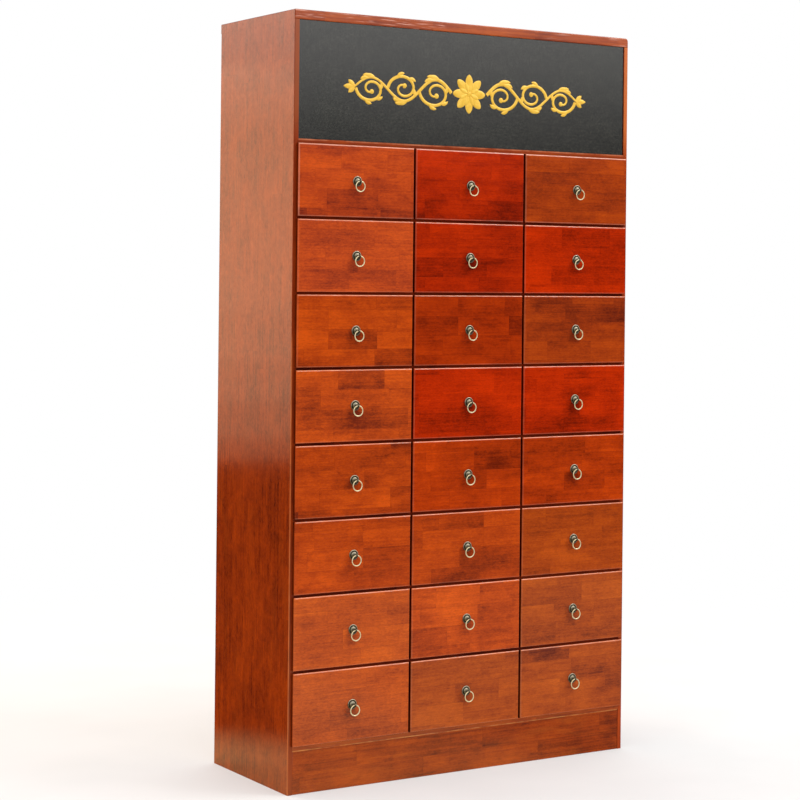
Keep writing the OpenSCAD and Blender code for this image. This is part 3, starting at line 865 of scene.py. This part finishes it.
def pull(r, c, body, node, centre):
    """Backplate, stem and eye; the hole of the eye runs along X."""
    bm = bmesh.new()
    lathe(bm, in_mm(ROSETTE), centre, 48)
    lathe(bm, in_mm(STEM), centre, 32)
    torus(bm, centre + Vector((0, -REACH, 0)), 3.12 * MM, 1.08 * MM, Vector((1, 0, 0)), 36, 12, 1.9)
    ob = new_object(f"pull_r{r}c{c}", bm, [M_PULL], body, [node], 50)
    mark(ob, lambda co: plate_shade_and_patina((co.x - centre.x) / MM, (co.z - centre.z) / MM, (centre.y - co.y) / MM))


def fixings(r, c, body, node, centre, inner_y, middle_z):
    """Nut of the eye bolt and the two screws that hold the face, inside the box."""
    bm = bmesh.new()
    radius, height = 4.04 * MM, 3.2 * MM
    nut = bmesh.ops.create_cone(bm, cap_ends=True, segments=6, radius1=radius, radius2=radius,
                                depth=height)["verts"]
    turn = Matrix.Rotation(math.radians(90), 4, "X")
    for v in nut:
        v.co = turn @ v.co + Vector((centre.x, inner_y + FIT + height / 2, centre.z))
    for s in (-1, 1):
        lathe(bm, in_mm(SCREW_HEAD), Vector((centre.x + s * SCREW_X, inner_y, middle_z)), 20)
    new_object(f"fixings_r{r}c{c}", bm, [M_STEEL], body, [node])


def drawer(r, c):
    node, body = f"drawer_r{r}c{c}", f"drawer_r{r}c{c}_body"
    lo, hi = (Vector(v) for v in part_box(node))
    face_board(r, c, body, node, Vector((lo.x, FACE_Y, lo.z)), Vector((hi.x, FACE_Y + FACE_T, hi.z)))
    box_lo = Vector((lo.x + BOX_IN_X, FACE_Y + FACE_T + FIT, lo.z + BOX_UP_Z))
    box_hi = Vector((hi.x - BOX_IN_X, hi.y, box_lo.z + BOX_H))
    box_boards(r, c, body, node, box_lo, box_hi)
    centre = Vector(((lo.x + hi.x) / 2, FACE_Y, (lo.z + hi.z) / 2))
    pull(r, c, body, node, centre)
    fixings(r, c, body, node, centre, box_lo.y + BOX_T, box_lo.z + BOX_H / 2)


def ring(r, c):
    node = f"ring_r{r}c{c}"
    lo, hi = (Vector(v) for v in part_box(node))
    centre = (lo + hi) / 2
    bm = bmesh.new()
    torus(bm, centre, RING_R, WIRE_R, Vector((0, 1, 0)), 72, 16)
    # each ring hangs a little askew in the play of its eye
    eye = centre + Vector((0, 0, RING_R))
    lean = math.radians(random.Random(r * 10 + c).uniform(-6, 6))
    bmesh.ops.rotate(bm, verts=bm.verts, cent=eye, matrix=Matrix.Rotation(lean, 3, "Y"))
    ob = new_object(f"loop_r{r}c{c}", bm, [M_RING], f"ring_r{r}c{c}_body", [node], 80)
    # painted light and shade: the front of the wire is painted bright and its back dark
    mark(ob, lambda co: max(0.0, min(1.0, 0.45 + 0.75 * (centre.y - co.y) / WIRE_R)))


for r in range(1, ROWS + 1):
    for c in range(1, COLS + 1):
        drawer(r, c)
        ring(r, c)


# Stage
FLOOR_HALF = 14.0
DOME = 1.15
# the floor as the lacquer mirrors it: before the cabinet, behind it, to its right, and far off
MIRRORED_BEFORE = (0.52, 0.46, 0.27, 1)
MIRRORED_BEHIND = (0.95, 0.92, 0.48, 1)
MIRRORED_RIGHT = (0.16, 0.145, 0.12, 1)
MIRRORED_FAR = (0.03, 0.025, 0.015, 1)
WHITE = (1, 1, 1, 1)


def mirrored_floor(t, x, y, away):
    """The floor's look to glossy rays; it fades soon behind the cabinet and later in front of it."""
    shade = t.node("ShaderNodeBsdfDiffuse")
    fade_behind = t.span(away, 0.66, 1.02, smooth=True)
    fade_before = t.span(away, 1.6, 6.0, smooth=True)
    behind = t.span(y, -0.6, 0.0, smooth=True)
    fade = t.math("ADD", t.times(fade_behind, behind), t.times(fade_before, t.minus(1.0, behind)))
    near = t.mix(behind, MIRRORED_BEFORE, MIRRORED_BEHIND)
    near = t.mix(t.span(x, 0.1, 0.5, smooth=True), near, MIRRORED_RIGHT)
    t.put(shade.inputs["Color"], t.mix(fade, near, MIRRORED_FAR))
    return shade.outputs[0]


def studio_floor():
    """Pale floor that keeps the shadow near the cabinet and turns plain white further off."""
    bm = bmesh.new()
    bmesh.ops.create_grid(bm, x_segments=2, y_segments=2, size=FLOOR_HALF)
    mesh = bpy.data.meshes.new("floor")
    bm.to_mesh(mesh)
    bm.free()
    t = Tree("studio_floor")
    x, y, z = t.coords()
    uneven = t.noise(t.vec(x, y, z), 3.0, 2.0, 0.5)
    pale = t.ramp(uneven, [(0.3, (0.78, 0.78, 0.78)), (0.7, (0.82, 0.82, 0.82))])
    t.put(t.shader.inputs["Base Color"], pale)
    t.shader.inputs["Roughness"].default_value = 0.9
    t.shader.inputs["Specular IOR Level"].default_value = 0.2
    rays = t.node("ShaderNodeLightPath")
    away = t.distance(x, y)
    seen = t.node("ShaderNodeMixShader")
    t.put(seen.inputs[0], rays.outputs["Is Glossy Ray"])
    t.put(seen.inputs[1], t.shader.outputs[0])
    t.put(seen.inputs[2], mirrored_floor(t, x, y, away))

    white = t.node("ShaderNodeEmission")
    white.inputs["Color"].default_value = WHITE
    far = t.span(away, 1.0, 3.2, 0.25, 1.0, smooth=True)
    final = t.node("ShaderNodeMixShader")
    t.put(final.inputs[0], t.times(far, rays.outputs["Is Camera Ray"]))
    t.put(final.inputs[1], seen.outputs[0])
    t.put(final.inputs[2], white.outputs[0])
    t.put(t.output.inputs[0], final.outputs[0])
    mesh.materials.append(t.material)
    ob = bpy.data.objects.new("floor", mesh)
    bpy.context.scene.collection.objects.link(ob)


def studio_world():
    """Soft dome, bright above and dark at the horizon; the camera sees plain white."""
    world = bpy.data.worlds.new("studio")
    bpy.context.scene.world = world
    world.use_nodes = True
    nodes, links = world.node_tree.nodes, world.node_tree.links
    nodes.clear()
    output = nodes.new("ShaderNodeOutputWorld")
    rays = nodes.new("ShaderNodeLightPath")
    place = nodes.new("ShaderNodeTexCoord")
    split = nodes.new("ShaderNodeSeparateXYZ")
    rise = nodes.new("ShaderNodeMapRange")
    rise.interpolation_type = "SMOOTHSTEP"
    # from the horizon upwards, the dome's strength goes from almost none to its full value
    for i, v in enumerate((0.0, 0.06, 0.14, 0.02, DOME)):
        rise.inputs[i].default_value = v
    dome = nodes.new("ShaderNodeBackground")
    dome.inputs[0].default_value = (1.0, 0.99, 0.97, 1)
    plain = nodes.new("ShaderNodeBackground")
    plain.inputs[0].default_value = WHITE
    mix = nodes.new("ShaderNodeMixShader")
    links.new(place.outputs["Generated"], split.inputs[0])
    links.new(split.outputs[2], rise.inputs[0])
    links.new(rise.outputs[0], dome.inputs[1])
    links.new(rays.outputs["Is Camera Ray"], mix.inputs[0])
    links.new(dome.outputs[0], mix.inputs[1])
    links.new(plain.outputs[0], mix.inputs[2])
    links.new(mix.outputs[0], output.inputs[0])


def softbox(name, location, target, width, height, radiance, colour=(1, 1, 1)):
    """Rectangular lamp of an even radiance, facing its target."""
    lamp = bpy.data.lights.new(name, "AREA")
    lamp.shape = "RECTANGLE"
    lamp.size = width
    lamp.size_y = height
    lamp.energy = radiance * math.pi * width * height
    lamp.color = colour
    ob = bpy.data.objects.new(name, lamp)
    ob.location = location
    ob.rotation_euler = (Vector(target) - Vector(location)).to_track_quat("-Z", "Y").to_euler()
    ob.visible_camera = False
    bpy.context.scene.collection.objects.link(ob)


# behind left, a stack of warm cards makes the sheen of the side panel: each from one height to
# another, with its radiance
SHEEN = [(0.54, 0.63, 0.95), (0.63, 0.78, 1.65), (0.78, 0.95, 2.2), (0.95, 1.15, 2.65), (1.15, 1.80, 2.95),
         (1.80, 2.15, 2.8), (2.15, 2.80, 2.0)]
SHEEN_X, SHEEN_Y, SHEEN_WIDTH = -2.0, 2.75, 2.6
SHEEN_TARGET_X = -0.875
SHEEN_COLOUR = (1.0, 0.61, 0.36)

studio_floor()
studio_world()
for z_from, z_to, radiance in SHEEN:
    middle = (z_from + z_to) / 2
    softbox(f"sheen_{int(z_from * 100)}", (SHEEN_X, SHEEN_Y, middle), (SHEEN_TARGET_X, 0.0, middle),
            SHEEN_WIDTH, z_to - z_from, radiance, SHEEN_COLOUR)
softbox("key", (3.0, -2.7, 4.6), (0.0, -0.2, 1.0), 2.4, 2.0, 6.0)


# Camera, at the photo's place
YAW, ROLL = math.radians(32.18), math.radians(0.589)
# how far it stands left of the cabinet's left side and before its front, and its height
CAMERA_LEFT, CAMERA_BEFORE, CAMERA_Z = 2.4776, 4.4408, 1.2844
SENSOR = 36.0
FRAME_PX, FOCAL_PX = 800.0, 2046.2
SHIFT_X, SHIFT_Y = -0.0006, -0.1504


def camera():
    cam = bpy.data.cameras.new("camera")
    ob = bpy.data.objects.new("camera", cam)
    bpy.context.scene.collection.objects.link(ob)
    forward = Vector((math.sin(YAW), math.cos(YAW), 0))
    level = Vector((math.cos(YAW), -math.sin(YAW), 0))
    plumb = Vector((0, 0, 1))
    right = level * math.cos(ROLL) + plumb * math.sin(ROLL)
    up = -level * math.sin(ROLL) + plumb * math.cos(ROLL)
    place = Matrix((right, up, -forward)).transposed().to_4x4()
    place.translation = Vector((LEFT - CAMERA_LEFT, FRONT - CAMERA_BEFORE, CAMERA_Z))
    ob.matrix_world = place
    cam.sensor_width = SENSOR
    cam.lens = SENSOR * FOCAL_PX / FRAME_PX
    cam.shift_x = SHIFT_X
    cam.shift_y = SHIFT_Y
    cam.clip_end = 60.0
    bpy.context.scene.camera = ob


camera()
bpy.context.scene.view_settings.view_transform = "Standard"
